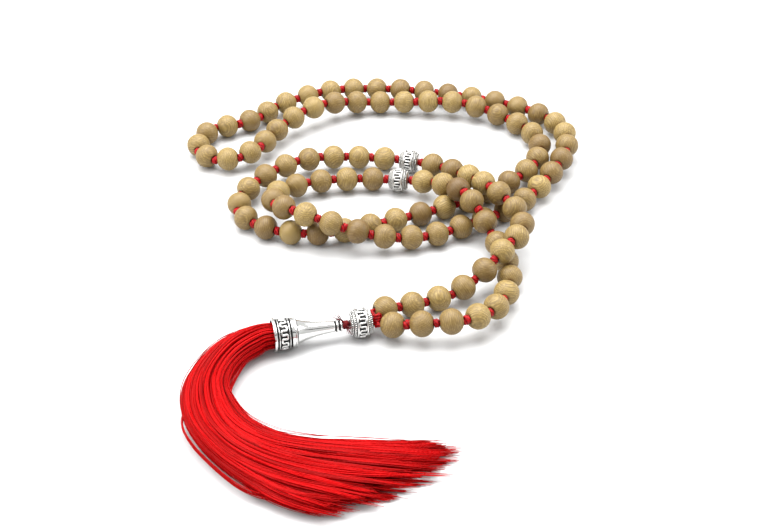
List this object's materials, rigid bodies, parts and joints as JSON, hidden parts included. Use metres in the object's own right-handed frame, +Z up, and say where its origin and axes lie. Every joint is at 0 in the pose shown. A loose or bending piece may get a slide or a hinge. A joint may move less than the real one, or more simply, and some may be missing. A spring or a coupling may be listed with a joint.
{
  "type": "mala prayer beads",
  "caption": "Loop of knotted wooden prayer beads laid down double, with silver marker beads, a silver guru bead and cap, and a red silk tassel.",
  "frame": {"origin": "on the surface that the mala lies on, under the middle of its bounding box", "axes": "+Z up from the surface, +Y from the tassel to the far end of the beads, +X to the right as seen from the tassel"},
  "size_m": [0.1367, 0.2143, 0.016],
  "materials": {
    "sandalwood": "fine-grained sandalwood, turned and rubbed to a low sheen",
    "red_cord": "twisted red cord, slightly glossy",
    "red_silk": "bright red silk thread",
    "silver": "cast silver-coloured metal, polished high spots and blackened recesses"
  },
  "bodies": {
    "guru_end": {"first_strand_cord_guru_end": "red_cord", "second_strand_cord_guru_end": "red_cord"},
    "near_run": {"first_strand_cord_near_run": "red_cord", "second_strand_cord_near_run": "red_cord"},
    "middle": {"first_strand_beads_05_to_41": "sandalwood", "first_strand_cord_middle": "red_cord", "second_strand_beads_05_to_41": "sandalwood", "second_strand_cord_middle": "red_cord"},
    "top_run": {"first_strand_beads_42_to_46": "sandalwood", "first_strand_cord_top_run": "red_cord", "second_strand_beads_42_to_46": "sandalwood", "second_strand_cord_top_run": "red_cord"},
    "left_run": {"first_strand_beads_47_to_50": "sandalwood", "first_strand_cord_left_run": "red_cord", "second_strand_beads_47_to_50": "sandalwood", "second_strand_cord_left_run": "red_cord"},
    "end_loop": {"end_loop_cord": "red_cord"},
    "guru_link": {"guru_tie_knot": "red_cord", "guru_cord": "red_cord", "guru_stop_knot": "red_cord"},
    "guru_bead": {"guru_bead": "silver"},
    "tassel_link": {"tassel_cord": "red_cord", "tassel_head": "red_silk", "tassel_binding": "red_silk", "tassel_skirt_upper": "red_silk"},
    "tassel_cap": {"tassel_cap": "silver"},
    "silk_middle": {"tassel_skirt_middle": "red_silk"},
    "silk_tips": {"tassel_skirt_tips": "red_silk"},
    "first_strand_marker_bead": {"first_strand_marker_bead": "silver"},
    "second_strand_marker_bead": {"second_strand_marker_bead": "silver"},
    "first_strand_bead_01": {"first_strand_bead_01": "sandalwood"},
    "first_strand_bead_02": {"first_strand_bead_02": "sandalwood"},
    "first_strand_bead_03": {"first_strand_bead_03": "sandalwood"},
    "first_strand_bead_04": {"first_strand_bead_04": "sandalwood"},
    "first_strand_bead_51": {"first_strand_bead_51": "sandalwood"},
    "first_strand_bead_52": {"first_strand_bead_52": "sandalwood"},
    "first_strand_bead_53": {"first_strand_bead_53": "sandalwood"},
    "first_strand_bead_54": {"first_strand_bead_54": "sandalwood"},
    "second_strand_bead_01": {"second_strand_bead_01": "sandalwood"},
    "second_strand_bead_02": {"second_strand_bead_02": "sandalwood"},
    "second_strand_bead_03": {"second_strand_bead_03": "sandalwood"},
    "second_strand_bead_04": {"second_strand_bead_04": "sandalwood"},
    "second_strand_bead_51": {"second_strand_bead_51": "sandalwood"},
    "second_strand_bead_52": {"second_strand_bead_52": "sandalwood"},
    "second_strand_bead_53": {"second_strand_bead_53": "sandalwood"},
    "second_strand_bead_54": {"second_strand_bead_54": "sandalwood"}
  },
  "joints": [
    {"name": "near_run_lift", "type": "hinge", "parent": "middle", "child": "near_run", "pos_m": [0.03039, -0.02254, 0.00646], "axis": [-0.2129, 0.9769, -0.0199], "range_deg": [0, 12]},
    {"name": "guru_end_lift", "type": "hinge", "parent": "near_run", "child": "guru_end", "pos_m": [0.01477, -0.02942, 0.00567], "axis": [-0.1972, 0.9522, -0.2333], "range_deg": [0, 12]},
    {"name": "top_run_lift", "type": "hinge", "parent": "middle", "child": "top_run", "pos_m": [0.02922, 0.09462, 0.00502], "axis": [-0.1443, 0.9667, -0.2113], "range_deg": [0, 15]},
    {"name": "left_run_lift", "type": "hinge", "parent": "top_run", "child": "left_run", "pos_m": [-0.01414, 0.09664, 0.00539], "axis": [-0.1377, 0.9858, -0.0963], "range_deg": [0, 15]},
    {"name": "end_loop_lift", "type": "hinge", "parent": "left_run", "child": "end_loop", "pos_m": [-0.04167, 0.07662, 0.0046], "axis": [-0.2882, 0.9534, -0.0895], "range_deg": [0, 15]},
    {"name": "guru_swing", "type": "hinge", "parent": "guru_end", "child": "guru_link", "pos_m": [-0.0014, -0.0317, 0.00455], "axis": [0, 0, 1], "range_deg": [-6, 6]},
    {"name": "tassel_swing", "type": "hinge", "parent": "guru_link", "child": "tassel_link", "pos_m": [-0.01086, -0.03406, 0.00477], "axis": [0, 0, 1], "range_deg": [-11, 11]},
    {"name": "silk_upper_bend", "type": "hinge", "parent": "tassel_link", "child": "silk_middle", "pos_m": [-0.0473, -0.0525, 0.0044], "axis": [0, 0, 1], "range_deg": [-8, 8]},
    {"name": "silk_lower_bend", "type": "hinge", "parent": "silk_middle", "child": "silk_tips", "pos_m": [-0.0395, -0.085, 0.0039], "axis": [0, 0, 1], "range_deg": [-8, 8]},
    {"name": "guru_bead_spin", "type": "hinge", "parent": "guru_link", "child": "guru_bead", "pos_m": [-0.00639, -0.03295, 0.00466], "axis": [-0.9699, -0.2425, 0.0223], "continuous": true},
    {"name": "tassel_cap_spin", "type": "hinge", "parent": "tassel_link", "child": "tassel_cap", "pos_m": [-0.02167, -0.03677, 0.00502], "axis": [-0.9699, -0.2425, 0.0223], "continuous": true},
    {"name": "first_strand_marker_bead_spin", "type": "hinge", "parent": "middle", "child": "first_strand_marker_bead", "pos_m": [0.00946, 0.0549, 0.00434], "axis": [-0.9643, 0.2633, -0.0271], "continuous": true},
    {"name": "second_strand_marker_bead_spin", "type": "hinge", "parent": "middle", "child": "second_strand_marker_bead", "pos_m": [0.00567, 0.04285, 0.00464], "axis": [-0.9828, 0.1743, -0.0602], "continuous": true},
    {"name": "first_strand_bead_01_spin", "type": "hinge", "parent": "guru_end", "child": "first_strand_bead_01", "pos_m": [0.00093, -0.02684, 0.00503], "axis": [0.9377, 0.3306, -0.1071], "continuous": true},
    {"name": "first_strand_bead_02_spin", "type": "hinge", "parent": "guru_end", "child": "first_strand_bead_02", "pos_m": [0.00918, -0.02384, 0.00424], "axis": [0.934, 0.3501, -0.0713], "continuous": true},
    {"name": "first_strand_bead_03_spin", "type": "hinge", "parent": "near_run", "child": "first_strand_bead_03", "pos_m": [0.01734, -0.02056, 0.004], "axis": [0.9187, 0.3947, 0.0158], "continuous": true},
    {"name": "first_strand_bead_04_spin", "type": "hinge", "parent": "near_run", "child": "first_strand_bead_04", "pos_m": [0.02499, -0.01658, 0.00518], "axis": [0.8211, 0.5114, 0.2534], "continuous": true},
    {"name": "first_strand_bead_51_spin", "type": "hinge", "parent": "end_loop", "child": "first_strand_bead_51", "pos_m": [-0.04084, 0.06512, 0.0057], "axis": [-0.3216, -0.9423, 0.0931], "continuous": true},
    {"name": "first_strand_bead_52_spin", "type": "hinge", "parent": "end_loop", "child": "first_strand_bead_52", "pos_m": [-0.04559, 0.05823, 0.00572], "axis": [-0.7662, -0.6366, -0.0881], "continuous": true},
    {"name": "first_strand_bead_53_spin", "type": "hinge", "parent": "end_loop", "child": "first_strand_bead_53", "pos_m": [-0.05314, 0.05544, 0.00482], "axis": [-0.9925, -0.0031, -0.1219], "continuous": true},
    {"name": "first_strand_bead_54_spin", "type": "hinge", "parent": "end_loop", "child": "first_strand_bead_54", "pos_m": [-0.06067, 0.05826, 0.00415], "axis": [-0.7602, 0.6488, -0.0345], "continuous": true},
    {"name": "second_strand_bead_01_spin", "type": "hinge", "parent": "guru_end", "child": "second_strand_bead_01", "pos_m": [0.00327, -0.03484, 0.00532], "axis": [0.9639, -0.1907, 0.1859], "continuous": true},
    {"name": "second_strand_bead_02_spin", "type": "hinge", "parent": "guru_end", "child": "second_strand_bead_02", "pos_m": [0.01189, -0.03612, 0.00678], "axis": [0.9848, -0.0973, 0.1439], "continuous": true},
    {"name": "second_strand_bead_03_spin", "type": "hinge", "parent": "near_run", "child": "second_strand_bead_03", "pos_m": [0.02062, -0.03607, 0.00763], "axis": [0.993, 0.1081, 0.0476], "continuous": true},
    {"name": "second_strand_bead_04_spin", "type": "hinge", "parent": "near_run", "child": "second_strand_bead_04", "pos_m": [0.02859, -0.03317, 0.00723], "axis": [0.8206, 0.5544, -0.1385], "continuous": true},
    {"name": "second_strand_bead_51_spin", "type": "hinge", "parent": "end_loop", "child": "second_strand_bead_51", "pos_m": [-0.04744, 0.08162, 0.004], "axis": [-0.8277, -0.5608, 0.0221], "continuous": true},
    {"name": "second_strand_bead_52_spin", "type": "hinge", "parent": "end_loop", "child": "second_strand_bead_52", "pos_m": [-0.0552, 0.07793, 0.00405], "axis": [-0.956, -0.2932, -0.0098], "continuous": true},
    {"name": "second_strand_bead_53_spin", "type": "hinge", "parent": "end_loop", "child": "second_strand_bead_53", "pos_m": [-0.06202, 0.07325, 0.00398], "axis": [-0.6079, -0.794, -0.0052], "continuous": true},
    {"name": "second_strand_bead_54_spin", "type": "hinge", "parent": "end_loop", "child": "second_strand_bead_54", "pos_m": [-0.06431, 0.06548, 0.00398], "axis": [0.0696, -0.9976, 0.0045], "continuous": true}
  ]
}
